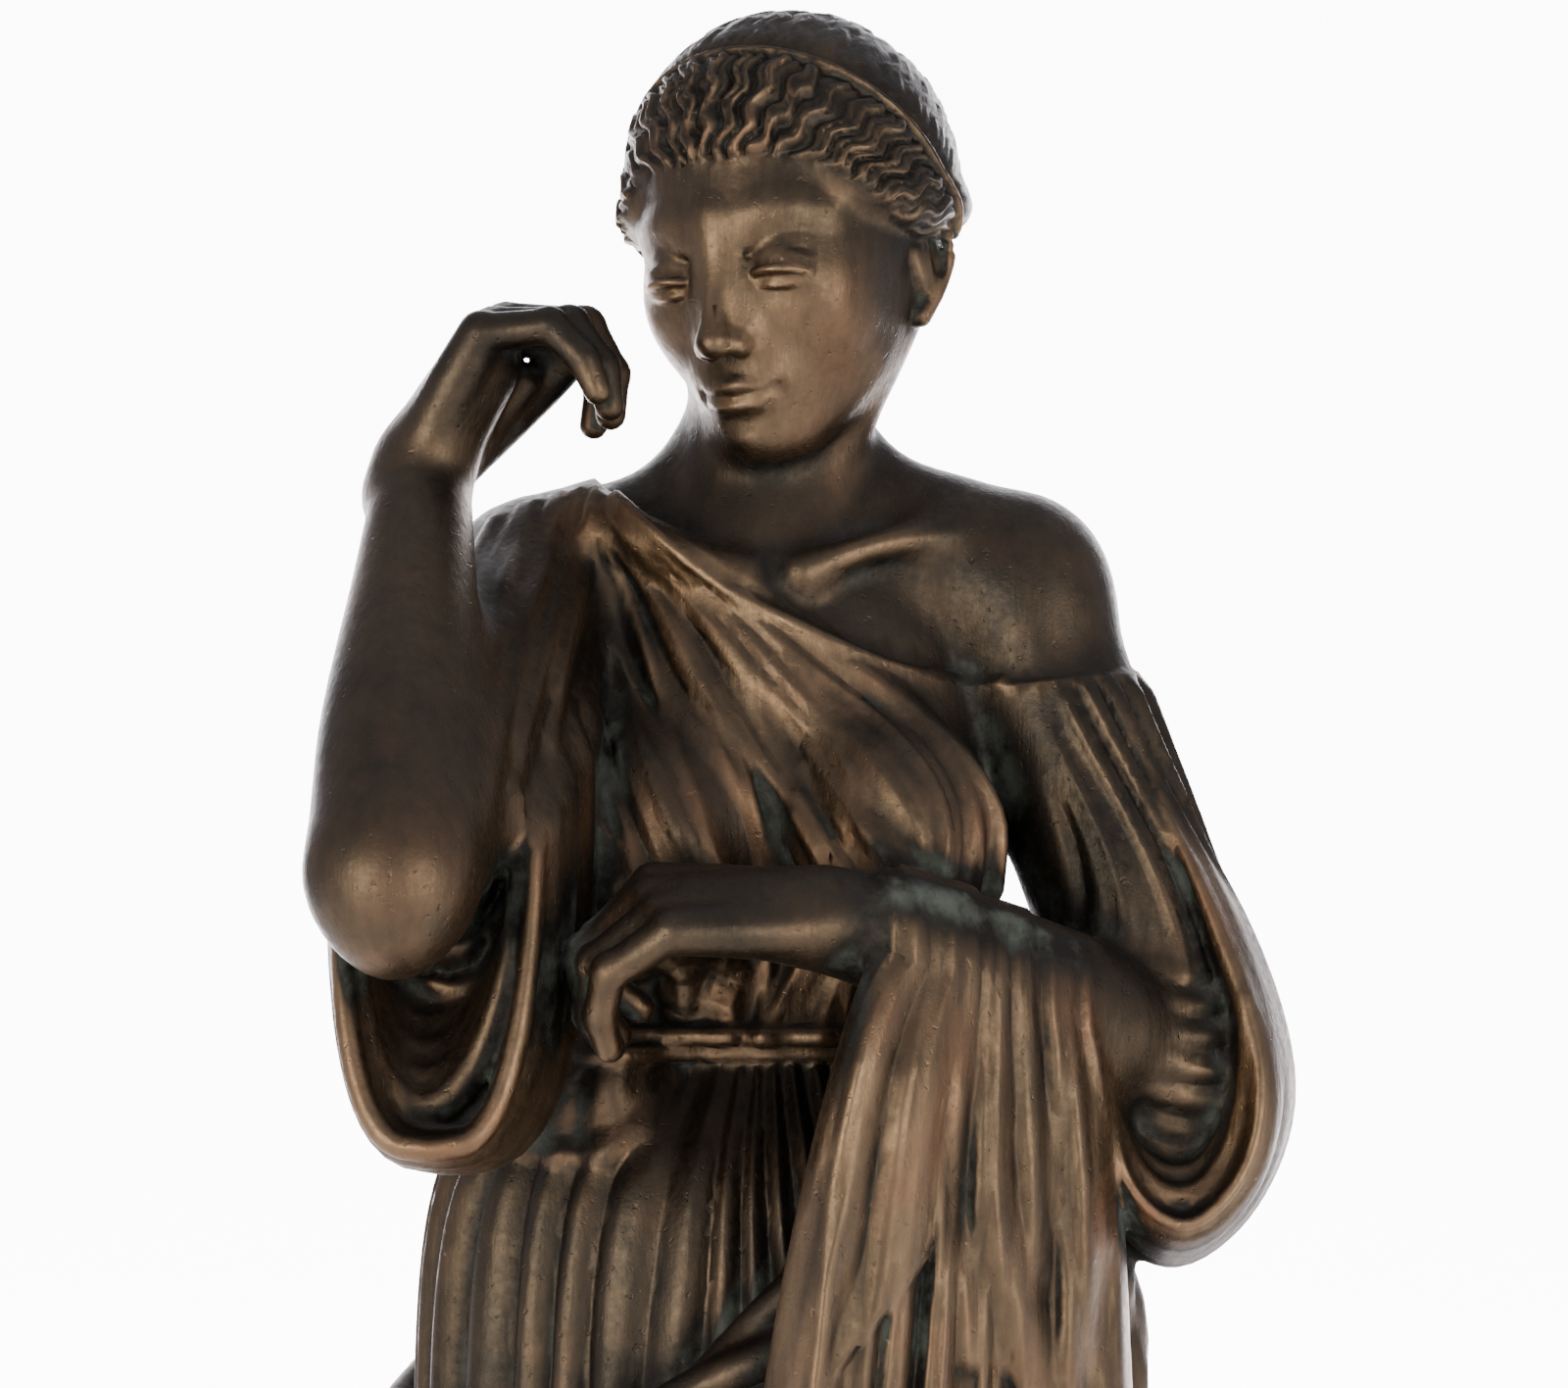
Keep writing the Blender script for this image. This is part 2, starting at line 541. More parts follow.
def drapeBodice(clay):
    foot = figure["belt"] + 1
    neckline = [(-36, 520), (-28, 512), (-12, 498), (4, 489), (22, 481.5), (40, 479), (66, 481), (90, 483)]
    edge = smoothPath(neckline, 60)
    window = clay.window((-64, -50, figure["belt"]), (96, 50, 520))
    x, y, z = clay.places(window)
    above = (z - np.interp(x, edge[:, 0], edge[:, 1]).astype(np.float32)) * 0.9
    clay.join(window, np.maximum(clay.field[window] - 1.5, above), 0.5)
    outer = [(-52, 500), (-45, 465), (-42, 440), (-37, foot)]
    inner = [(-36, 512), (-24, 482), (-9, 446), (-12, foot)]
    crossing = [(-30, 512), (-4, 484), (18, 452), (10, foot)]
    last = [(-26, 510), (8, 488), (38, 460), (32, foot)]
    across = [outer, inner, crossing, last]
    fan(clay, front, across, 13, [0.8, 2.1, 2.8, 2.0], 2.0, sway=0.5, sink=0.4, seed=3)
    fan(clay, front, across, 23, [0.5, 1.0, 1.2, 0.9], 1.0, sway=0.8, sink=0.4, seed=31)
    under = [[(-43, 466), (-36, 443), (-24, 430), (-8, 423)], [(-26, 452), (-21, 444), (-13, 436), (-5, 430)]]
    fan(clay, front, under, 5, [0.6, 2.2, 2.3, 1.0], 1.2, sink=0.2, seed=4)
    breast = [[(6, 468), (20, 449), (34, 436), (42, 430)], [(2, 452), (12, 437), (24, 428), (36, 422)]]
    fan(clay, front, breast, 5, [0.6, 2.0, 2.0, 0.9], 1.2, sink=0.2, seed=5)
    layFold(clay, front, [smoothPath(neckline[1:6], 40)], [[1.3, 1.4, 1.2]], 0.6, 0.3)
    rear = [[(-40, 500), (-30, 460), (-26, foot)], [(0, 488), (2, 460), (2, foot)],
            [(46, 476), (36, 456), (30, foot)]]
    fan(clay, back, rear, 17, [0.8, 2.3, 1.4], 2.2, seed=6)
    layFold(clay, back, [smoothPath(neckline[1:6], 60)], [[0.8, 1.3, 1.0]], 0.8, 0.3)


def drapeBlouse(clay):
    clay.ball((-36, -8, 414), (14, 16, 18), 6)
    clay.ball((-30, -16, 409), (9, 10, 9), 5)
    over = [[(-50, 452), (-50, 425), (-44, 400)], [(-30, 448), (-30, 424), (-32, 398)],
            [(-14, 436), (-16, 420), (-22, 403)]]
    fan(clay, front, over, 11, [0.8, 2.3, 2.5], 2.0, uneven=0.4, sway=0.5, seed=7)
    rear = [[(96, 440), (100, 408), (96, 402)], [(180, 436), (180, 412), (180, 404)],
            [(256, 442), (254, 412), (256, 402)]]
    fan(clay, aroundWaist, rear, 21, [1.4, 3.8, 2.4], seed=8)


def drapeBelt(clay):
    angles = np.arange(-180, 181, 4.0)
    for shift in (-1.5, 1.5):
        guide = np.stack([angles, np.full(len(angles), figure["belt"] + shift)], 1)
        layFold(clay, aroundWaist, [guide], [[1.9]], 0.5, 0.1)


# Mantle: the height of its rolled edge and of its hem at each angle, from the left hip right round
mantle = {
    "roll": [(52, 418), (20, 388), (-20, 354), (-60, 337), (-95, 341), (-140, 362), (-180, 376),
             (-225, 388), (-270, 402), (-308, 418)],
    "hem": [(-308, 96), (-270, 88), (-220, 96), (-180, 84), (-140, 92), (-95, 86), (-60, 98),
            (-20, 78), (20, 92), (52, 96)],
    "thickness": 3.0,
    "twist": 170,
    "rollSize": 4.6,
    "strands": 5,
    "strandSize": 3.3,
}


def rollCloth(clay, guide):
    # the mantle's upper edge, rolled into strands that twist round one another
    starts, directions = around(guide)
    reach = clay.drop(starts, directions)
    even = np.convolve(np.pad(reach, 6, mode="edge"), np.full(13, 1 / 13), "valid")
    middle = starts + directions * (even - 2.5)[:, None]
    walked = np.concatenate([[0], np.cumsum(np.linalg.norm(np.diff(middle, axis=0), axis=1))])
    for strand in range(mantle["strands"]):
        phase = 2 * math.pi * (walked / mantle["twist"] + strand / mantle["strands"])
        phase = phase + 0.5 * np.sin(walked / 19 + strand)
        swell = mantle["rollSize"] * (1 + 0.12 * np.sin(walked / 27))
        line = middle - directions * (np.cos(phase) * swell * 0.8)[:, None]
        line[:, 2] += np.sin(phase) * swell * 1.25
        girth = mantle["strandSize"] * (1 + 0.2 * math.sin(2.3 * strand))
        clay.rope(line, [1.5, girth, girth, girth, girth, 1.5], 1.8)


def drapeMantle(clay):
    roll = smoothPath(mantle["roll"], 120)
    hem = smoothPath(mantle["hem"], 120)
    window = clay.window((-84, -66, 60), (88, 64, 430))
    x, y, z = clay.places(window)
    angle = np.degrees(np.arctan2(x, figure["axisY"] - y))
    angle = np.where(angle > 52, angle - 360, angle)
    top = np.interp(angle, roll[::-1, 0], roll[::-1, 1]).astype(np.float32)
    low = np.interp(angle, hem[:, 0], hem[:, 1]).astype(np.float32)
    cloth = np.maximum(clay.field[window] - mantle["thickness"], np.maximum(z - top, low - z) * 0.9)
    clay.join(window, cloth, 0.8)
    rightLeg = [(-112, 338), (-96, 262), (-70, 180), (-60, 92)]
    overKnee = [(-50, 338), (-48, 268), (-44, 186), (-44, 84)]
    middle = [(-8, 360), (-16, 286), (-28, 200), (-22, 82)]
    left = [(50, 412), (56, 300), (52, 200), (44, 96)]
    fan(clay, around, [rightLeg, overKnee, middle, left], 14, [1.6, 4.0, 5.0, 4.0], 3.5, uneven=0.4, sway=0.6,
        seed=10, points=50)
    rearLeft = [(60, 410), (82, 300), (80, 200), (76, 98)]
    rearMiddle = [(150, 372), (150, 280), (155, 190), (150, 94)]
    rearRight = [(244, 344), (250, 270), (256, 180), (250, 92)]
    fan(clay, around, [rearLeft, rearMiddle, rearRight], 16, [2.0, 4.4, 5.2, 4.2], 3.5, uneven=0.4, sway=0.6,
        seed=11, points=50)
    rollCloth(clay, roll)


def sleeveRing(centre, width, rise, droop, lean):
    # round the arm above and hanging in a wide loop below it
    turn = np.linspace(0, 2 * math.pi, 41)
    up = np.cos(turn)
    aside = np.sign(np.sin(turn)) * np.abs(np.sin(turn)) ** np.where(up > 0, 1.0, 0.62)
    return np.stack([centre[0] + width * aside, centre[1] + lean * (1 - up) / 2,
                     centre[2] + np.where(up > 0, rise, droop) * up], 1)


def hangingLoop(inner, outer, drop, count=30):
    share = np.linspace(0, 1, count)
    mix = ((1 - np.cos(math.pi * share)) / 2)[:, None]
    line = np.array(inner, float) * (1 - mix) + np.array(outer, float) * mix
    line[:, 2] -= drop * np.sin(math.pi * share) ** 0.8
    return line


def loopFolds(x, z, middle, squeeze, spacing):
    # nested loops of cloth hanging below a middle
    return np.hypot((x - middle[0]) / squeeze, z - middle[1]) / spacing


def limbFrame(first, last):
    # where a limb starts, the way it runs, the two ways across it and its length
    start, end = joint(first), joint(last)
    length = np.linalg.norm(end - start)
    along = (end - start) / length
    outward = np.cross(along, (0, 1, 0))
    outward /= np.linalg.norm(outward)
    return start, along, outward, np.cross(outward, along), length


# Sleeves: folds that run down each upper arm, and loops of cloth hanging one inside the other
# at the mouth, each loop a step in from the one before
sleeves = {
    "right": {
        "arm": ("rightShoulder", "rightElbow"),
        "folds": 16,
        "rise": 2.4,
        "fineRise": 0.7,
        "bend": (0.8, 0.4, 8),
        "fade": ((-0.15, 0, 0.25, 0.8, 0.9), (0, 0.3, 1, 1, 0)),
        "loopInner": ((-41, -58, 458), (-0.8, 4, -4)),
        "loopOuter": ((-67, -58, 450), (0.8, 4, -3)),
        "loopDrop": (40, 8),
        "loopSize": [0.8, 2.2, 3.0, 2.2, 0.8],
        "loopBlend": 2.4,
    },
    "left": {
        "arm": ("leftShoulder", "leftElbow"),
        "folds": 14,
        "rise": 2.6,
        "fineRise": 0.8,
        "bend": (0.6, 0.3, 7),
        "fade": ((0.16, 0.32, 1.0, 1.12), (0.3, 1, 1, 0)),
        "loopInner": ((54, -27, 432), (0.6, 4, -4)),
        "loopOuter": ((80, -25, 424), (-0.8, 4, -3)),
        "loopDrop": (34, 7),
        "loopSize": [0.6, 1.4, 1.9, 1.4, 0.6],
        "loopBlend": 2.2,
    },
}


def foldsDownArm(points, sleeve):
    start, along, outward, ahead, length = limbFrame(*sleeve["arm"])
    share = (points - start) @ along / length
    turn = np.arctan2((points - start) @ outward, (points - start) @ ahead)
    slow, quick, waves = sleeve["bend"]
    bend = slow * np.sin(2 * turn + 3 * share) + quick * np.sin(waves * share + turn)
    folds = sleeve["rise"] * (pleats(sleeve["folds"] * turn / (2 * math.pi) + bend, sleeve["folds"]) - 0.45)
    folds += sleeve["fineRise"] * (pleats(17 * turn / math.pi + 2 * bend, 34) - 0.4)
    return folds, np.interp(share, *sleeve["fade"])


def nestLoops(clay, sleeve):
    for nested in np.linspace(-0.5, 3, 5):
        inner, outer = (np.array(first, float) + nested * np.array(step)
                        for first, step in (sleeve["loopInner"], sleeve["loopOuter"]))
        drop = sleeve["loopDrop"][0] - sleeve["loopDrop"][1] * nested
        clay.rope(hangingLoop(inner, outer, drop), sleeve["loopSize"], sleeve["loopBlend"])


def drapeRightSleeve(clay):
    upper = [towards("rightShoulder", "rightElbow", share) for share in (0, 0.45, 0.8)]
    clay.limb(upper, [16, 16, 13.5], 4)
    clay.limb([(-51, -36, 438), (-49, -20, 438), (-45, -7, 442)], [13.5, 14.5, 12], 5)
    clay.limb([(-52, -38, 424), (-50, -22, 420), (-45, -9, 424)], [12, 13, 11], 5)

    def armFolds(points):
        folds, fade = foldsDownArm(points, sleeves["right"])
        return folds * (fade * np.clip((-30 - points[:, 0]) / 6, 0, 1))

    clay.emboss((-80, -66, 430), (-28, 34, 516), armFolds, 6)
    shoulder = [[(-31, 514), (-36, 484), (-39, 450), (-38, 420)],
                [(-40, 512), (-46, 484), (-50, 455), (-52, 430)],
                [(-50, 508), (-58, 480), (-65, 455), (-68, 430)]]
    fan(clay, front, shoulder, 11, [0.8, 1.7, 2.0, 1.4], 1.2, uneven=0.4, sway=0.5, sink=0.3, seed=122)

    def mouthLoops(points):
        x, y, z = points.T
        loops = loopFolds(x, z + 0.25 * (y + 50), (-54, 462), 0.66, 6.2) + 0.35 * np.sin(x / 6 + y / 9)
        inside = np.clip((-20 - y) / 10, 0, 1) * np.clip((x + 74) / 6, 0, 1) * np.clip((-32 - x) / 6, 0, 1)
        return 2.6 * (pleats(loops, 40, 0.9) - 0.5) * inside * np.clip((452 - z) / 8, 0, 1)

    clay.emboss((-80, -76, 396), (-30, -16, 454), mouthLoops, 6)
    mouth = sleeveRing((-53.5, -50, 452), 15.5, 14, 46, -20)
    middle = sleeveRing((-51, -28, 466), 18, 16, 64, -6)
    bodySide = sleeveRing((-46, -1, 482), 16, 18, 63, 6)
    inner = mouth + 0.16 * (middle - mouth)
    fan(clay, fixed, [mouth, middle, bodySide], 19, [0.8, 1.4, 1.7, 1.4, 0.8], 1.2, uneven=0.35,
        sway=0.7, seed=12, points=64)
    fan(clay, fixed, [inner, middle, bodySide], 16, [0.8, 2.4, 2.9, 2.4, 0.8], 3.0, uneven=0.15,
        sway=0.4, seed=121, points=64)
    nestLoops(clay, sleeves["right"])
    clay.limb([(-61, -50, 416), (-54, -53, 409), (-48.5, -53, 410.5), (-45, -50, 416)],
              [3.6, 4.4, 4.6, 4], 2.5)
    clay.rope(mouth - (0, 1, -0.5), [0.7, 0.9, 1.1, 0.9, 0.7], 1.2)


def drapeLeftSleeve(clay):
    clay.limb([towards("leftShoulder", "leftElbow", share) for share in (0.24, 0.6, 1)], [14, 16, 15.5], 4)
    clay.ball((69, 4, 412), (13.5, 25, 25), 5)
    clay.ball((68, -8, 404), (11.5, 15, 15), 5)
    clay.limb([(61, 10, 438), (60, 13, 416), (62, 14, 398)], [6, 7, 6], 4)

    def cloth(points):
        x, y, z = points.T
        folds, fade = foldsDownArm(points, sleeves["left"])
        folds *= fade * np.clip((481 - z) / 3, 0, 1)
        loops = loopFolds(x, z, (68, 446), 0.72, 5.6) + 0.35 * np.sin(x / 6 + y / 9)
        low = np.clip((432 - z) / 8, 0, 1) * np.clip((-4 - y) / 8, 0, 1)
        near = np.clip((x - 47) / 5, 0, 1)
        return near * (folds * (1 - low) + 2.4 * (pleats(loops, 40, 0.9) - 0.5) * low)

    clay.emboss((44, -50, 374), (98, 36, 482), cloth, 6)
    mouth = [(65, -10, 464), (75, -20, 440), (82, -28, 416), (80, -31, 398), (70, -32, 387.5),
             (60, -32, 394), (55, -31, 412), (52, -26, 432)]
    middle = [(67, 0, 462), (82, -4, 434), (88, -6, 408), (82, -5, 389), (70, -5, 380), (60, -5, 389),
              (55, -5, 410), (54, -5, 436)]
    rear = [(62, 12, 460), (77, 20, 434), (82, 22, 408), (77, 22, 392), (68, 22, 387), (60, 22, 394),
            (56, 20, 414), (58, 13, 435), (62, 5, 452)]
    mouth, middle, rear = (smoothPath(ring, 56) for ring in (mouth, middle, rear))
    inner = mouth + 0.2 * (middle - mouth)
    fan(clay, fixed, [mouth, middle, rear], 19, [0.4, 1.1, 1.6, 1.7, 1.6, 1.2, 0.8], 1.2, uneven=0.35,
        sway=0.7, seed=13, points=56)
    fan(clay, fixed, [inner, middle, rear], 15, [0.4, 2.2, 2.9, 2.9, 2.9, 2.2, 0.8], 3.0, uneven=0.15,
        sway=0.4, seed=131, points=56)
    nestLoops(clay, sleeves["left"])
    clay.rope(mouth - (0, 1, -0.5), [0.3, 0.7, 1.0, 1.1, 1.0, 0.9, 0.6], 1.2)


# Panels of the mantle's end in front of the forearm: middle and half width at the top and at the foot,
# the hem's height at its left and right, how many layers forward each hangs, and its ridges
cascade = {
    "radius": (13.0, 10.6),
    "thickness": 1.3,
    "layer": 2.1,
    "panels": [
        {"top": (42, 9), "foot": (46, 18), "hem": (296, 280), "layer": 0, "ridges": 4, "swell": 4.6},
        {"top": (30, 9), "foot": (22, 19), "hem": (322, 306), "layer": 0.8, "ridges": 4, "swell": 4.6},
        {"top": (46, 8), "foot": (52, 13), "hem": (352, 326), "layer": 1.3, "ridges": 2, "swell": 4.4},
        {"top": (24, 6), "foot": (5, 11), "hem": (330, 352), "layer": 1.6, "ridges": 2, "swell": 4.4},
        {"top": (37, 6), "foot": (37, 12), "hem": (376, 352), "layer": 2.4, "ridges": 2, "swell": 3.6},
        {"top": (27, 7), "foot": (14, 15), "hem": (362, 396), "layer": 3.6, "ridges": 2, "swell": 3.6},
    ],
}


def layPanel(clay, panel, number):
    elbow, wrist = joint("leftElbow"), joint("leftWrist")
    top, foot = panel["top"], panel["foot"]
    low = min(panel["hem"])
    sides = [middle + side * (half + 8) for middle, half in (top, foot) for side in (-1, 1)]
    window = clay.window((min(sides), -76, low - 6), (max(sides), -6, 460))
    x, y, z = clay.places(window)
    share = np.clip((elbow[0] - x) / (elbow[0] - wrist[0]), 0, 1)
    armY = elbow[1] + (wrist[1] - elbow[1]) * share
    armZ = elbow[2] + (wrist[2] - elbow[2]) * share
    fall = np.clip((armZ - z) / (armZ - low), 0, 1)
    layers = cascade["layer"] * panel["layer"] * (0.4 + 0.6 * np.clip(4 * fall, 0, 1))
    reach = np.interp(share, (0.4, 0.8), cascade["radius"]) + layers
    rise = np.clip((z - armZ) / reach, 0, 0.97)
    spread = fall**0.7
    centre = top[0] + (foot[0] - top[0]) * spread + 1.6 * np.sin(4 * fall + number) * fall
    half = (top[1] + (foot[1] - top[1]) * spread) * (0.8 + 0.2 * np.sqrt(1 - rise**2))
    across = (x - centre) / half
    swing = 0.25 * np.sin(3.5 * fall + 2 * number) + 0.12 * np.sin(9 * fall + number)
    ridge = np.abs(np.cos(math.pi * (panel["ridges"] * across / 2 + swing))) ** 1.3
    crease = np.abs(np.cos(math.pi * (2.3 * panel["ridges"] * across / 2 - swing + number)))
    calm = 1 - np.clip(across, -1, 1) ** 6
    swell = panel["swell"] * ((0.45 + 0.55 * np.clip(2.5 * fall, 0, 1) - 0.25 * fall) * ridge + 0.22 * crease)
    upright = np.sqrt(1 - rise**2)
    depth = armY - reach * upright - swell * calm * upright
    depth = depth + 3.5 * across**2 * np.minimum(1, 2 * fall) + 8 * fall
    depth = depth + 1.6 * np.sin(5 * fall + 2 * number) * fall
    hem = panel["hem"][0] + (panel["hem"][1] - panel["hem"][0]) * (across + 1) / 2
    hem = hem + 2.2 * np.cos(math.pi * across) - 2.5 * ridge
    edges = np.maximum(np.maximum(hem - z, z - armZ - 0.985 * reach), (np.abs(across) - 1) * half)
    body = -softMin(cascade["thickness"] - np.abs(y - depth) * 0.85 * upright, -edges, 3.0)
    clay.join(window, body - 0.8, 1.6)


def drapeCascade(clay):
    clay.limb([(36, -32, 412), (34, -33, 370), (36, -34, 320)], [10, 13, 9], 4)
    shares = (0.28, 0.5, 0.74)
    clay.limb([towards("leftElbow", "leftWrist", share) for share in shares], [12.6, 12.4, 10.2], 2)
    behind = [[(54, 2, 420), (57, 12, 396), (58, 16, 372)], [(30, -22, 440), (42, -6, 410), (50, 2, 380)]]
    fan(clay, fixed, behind, 6, [3.0, 3.8, 2.4], 3.0, seed=15)
    for number, panel in enumerate(cascade["panels"]):
        layPanel(clay, panel, number)


def modelForearm(clay, elbow, wrist, thick):
    lower = [joint(elbow), towards(elbow, wrist, 0.3), towards(elbow, wrist, 0.68), joint(wrist)]
    clay.limb(lower, [12.4 * thick, 12.8 * thick, 9.8 * thick, 7.4 * thick], 5)


def modelRightArm(clay):
    clay.limb([towards("rightShoulder", "rightElbow", share) for share in (0, 0.5, 1)], [15, 14, 12.5], 5)
    modelForearm(clay, "rightElbow", "rightWrist", 1.06)
    clay.ball(joint("rightElbow") + (0, -1, -5), (8.5, 8.5, 11.5), 7)


# Hands: where the little finger lies across the palm, the gap from finger to finger, how far the
# knuckles are from the wrist, a finger's three bones, and each finger's length for its size
hand = {"little": -8.7, "gap": 5.8, "knuckle": 28, "bones": (14, 9, 7), "fingers": (0.86, 0.96, 1.0, 0.94)}


def modelHand(clay, wrist, along, palm, side, curls):
    # side is the thumb's, and curls are the bends in degrees at a finger's three joints
    along = np.array(along, float) / np.linalg.norm(along)
    thumb = np.cross(palm, along) * side
    thumb /= np.linalg.norm(thumb)
    palm = np.cross(along, thumb) * side
    wrist = joint(wrist)

    def local(forward, aside, down=0.0):
        return wrist + along * forward + thumb * aside + palm * down

    clay.limb([local(-6, 0), local(8, 0, -0.3), local(20, 0, 0.3)], [7.2, 7.4, 6.5], 5)
    knuckles = []
    for finger in range(len(hand["fingers"])):
        aside = hand["little"] + hand["gap"] * finger
        knuckles.append(local(hand["knuckle"] - 1.3 * abs(finger - 2), aside, -0.5))
        clay.limb([local(2, aside * 0.5), local(14, aside * 0.8, -0.6), knuckles[-1]], [5, 4.6, 3.9], 3)
    for finger, scale in enumerate(hand["fingers"]):
        bend = 0
        points = [knuckles[finger]]
        for curl, length in zip(curls, hand["bones"]):
            bend += math.radians(curl + 4 * (finger - 2))
            points.append(points[-1] + (along * math.cos(bend) + palm * math.sin(bend)) * length * scale)
        clay.rope(points, [3.9 * scale, 3.45 * scale, 3.15 * scale, 2.6 * scale], 0.5)
        clay.ball(points[1] - palm * 0.3, [3.7 * scale] * 3, 0.8)
        clay.ball(points[2], [3.3 * scale] * 3, 0.8)
    web = [local(6, 6, 3), local(15, 7.5, 4.5), local(21, 7, 6)]
    clay.limb(web, [4, 4, 3], 2)
    thumbLine = [local(2, 6, 2), local(14, 12, 5), local(25, 11.5, 9), local(34, 8, 12)]
    clay.limb(thumbLine, [5.4, 4.8, 3.9, 3.0], 2)


# Feet: the middle of each, and its toes from the little one to the great one
foot = {
    "middles": ((-29, -50), (24, -44)),
    "toeGap": 4.1,
    "toeSizes": (0.8, 0.86, 0.92, 1.0, 1.35),
    "toeReach": (0, 2.0, 3.4, 4.6, 4.4),
}


def modelFeet(clay):
    for x, y in foot["middles"]:
        clay.limb([(x, y + 28, 12), (x, y + 10, 7.5), (x, y - 2, 4.6)], [10.5, 8, 5], 4)
        clay.ball((x, y, 3.4), (11, 12, 4.6), 3)
        for toe in range(5):
            place = toe if x < 0 else 4 - toe
            size = foot["toeSizes"][place]
            tip = y - 9.5 - foot["toeReach"][place]
            middle = x + foot["toeGap"] * (toe - 2)
            clay.rope([(middle, y - 4, 4.4), (middle, tip + 3, 3.6 * size), (middle, tip, 2.3 * size)],
                      [2.0 * size, 2.2 * size, 2.1 * size], 0.7)


def modelFigure():
    clay = Clay()
    print("grid", clay.field.shape)
    modelTorso(clay)
    modelSkirt(clay)
    drapeBodice(clay)
    drapeTunicSkirt(clay)
    drapeBlouse(clay)
    drapeBelt(clay)
    drapeMantle(clay)
    print("body draped")
    drapeRightSleeve(clay)
    drapeLeftSleeve(clay)
    modelForearm(clay, "leftElbow", "leftWrist", 1.0)
    drapeCascade(clay)
    modelRightArm(clay)
    modelHand(clay, "rightWrist", (0.5, -0.12, 0.85), (0.8, -0.1, -0.55), -1, (62, 58, 30))
    modelHand(clay, "leftWrist", (-0.97, -0.16, 0.06), (0, 0.35, -0.94), 1, (48, 52, 34))
    modelHead(clay)
    modelHair(clay)
    modelFeet(clay)
    # cut flat at the soles
    window = clay.window((-100, -100, -5), (110, 70, 8))
    clay.field[window] = np.maximum(clay.field[window], -clay.places(window)[2])
    print("figure sculpted")
    return clay


def newObject(name, mesh):
    made = bpy.data.objects.new(name, mesh)
    bpy.context.scene.collection.objects.link(made)
    return made


def vertexPlaces(mesh):
    places = np.empty(len(mesh.vertices) * 3, np.float32)
    mesh.vertices.foreach_get("co", places)
    return places.reshape(-1, 3).astype(float)


def meshFromClay(clay, name):
    volume = openvdb.FloatGrid(grid["band"])
    volume.copyFromArray(np.clip(clay.field, -grid["band"], grid["band"]), tolerance=0.0)
    points, quads = volume.convertToQuads(0.0)
    places = np.stack([np.interp(points[:, side], np.arange(len(axis)), axis)
                       for side, axis in enumerate(clay.axes)], 1)
    mesh = bpy.data.meshes.new(name)
    mesh.from_pydata(places * figure["step"] + (0, 0, soles), [], quads)
    print(name, len(points), "points")
    return newObject(name, mesh)


# How much of the thinning falls on each region: 1 takes it all, lower keeps it finer
fineness = {"factor": 0.00002, "head": 0.1, "hands": 0.35, "front": 0.55, "back": 0.85, "skirt": 1.0}
regions = {"head": 48, "hands": 42, "frontEnds": 12, "skirtEnds": 340}


def thinned(made):
    places = (vertexPlaces(made.data) - (0, 0, soles)) / figure["step"]
    upper = places[:, 2] > regions["skirtEnds"]
    weights = np.full(len(places), fineness["skirt"])
    weights[upper] = fineness["back"]
    weights[upper & (places[:, 1] < regions["frontEnds"])] = fineness["front"]
    for name, region in (("leftWrist", "hands"), ("rightWrist", "hands"), ("head", "head")):
        near = np.linalg.norm(places - joint(name), axis=1) < regions[region]
        weights[near] = fineness[region]
    group = made.vertex_groups.new(name="fine")
    for value in np.unique(weights):
        group.add(np.nonzero(weights == value)[0].tolist(), float(value), "REPLACE")
    made.data.calc_loop_triangles()
    decimate = made.modifiers.new("thin", "DECIMATE")
    decimate.ratio = figure["triangles"] / len(made.data.loop_triangles)
    decimate.vertex_group = "fine"
    decimate.vertex_group_factor = fineness["factor"]
    evaluated = made.evaluated_get(bpy.context.evaluated_depsgraph_get())
    mesh = bpy.data.meshes.new_from_object(evaluated)
    thin = newObject("figure_bronze_skin", mesh)
    whole = made.data
    bpy.data.objects.remove(made)
    bpy.data.meshes.remove(whole)
    dropScraps(mesh)
    mesh.shade_smooth()
    print("figure", len(mesh.polygons), "faces")
    return thin


def dropScraps(mesh):
    # keeps only the faces that hang together with most of the skin, by spreading the lowest number
    ends = np.empty(len(mesh.edges) * 2, np.int32)
    mesh.edges.foreach_get("vertices", ends)
    one, other = ends.reshape(-1, 2).T
    part = np.arange(len(mesh.vertices))
    while (part[one] != part[other]).any():
        lower = np.minimum(part[one], part[other])
        np.minimum.at(part, part[one], lower)
        np.minimum.at(part, part[other], lower)
        part = part[part]
    scraps = np.nonzero(part != np.bincount(part).argmax())[0]
    shape = bmesh.new()
    shape.from_mesh(mesh)
    shape.verts.ensure_lookup_table()
    bmesh.ops.delete(shape, geom=[shape.verts[index] for index in scraps], context="VERTS")
    shape.to_mesh(mesh)
    shape.free()
    print("scraps of", len(scraps), "points dropped")


# How far out of the skin and into it the wear looks, and for what share; and the face that hands rub
wearMarks = {
    "hollow": ((1.6, 0.3), (4, 0.4), (9, 0.3)),
    "ridge": ((1.2, 0.5), (3, 0.5)),
    "face": (0, -24, -6),
    "faceReach": 22,
}


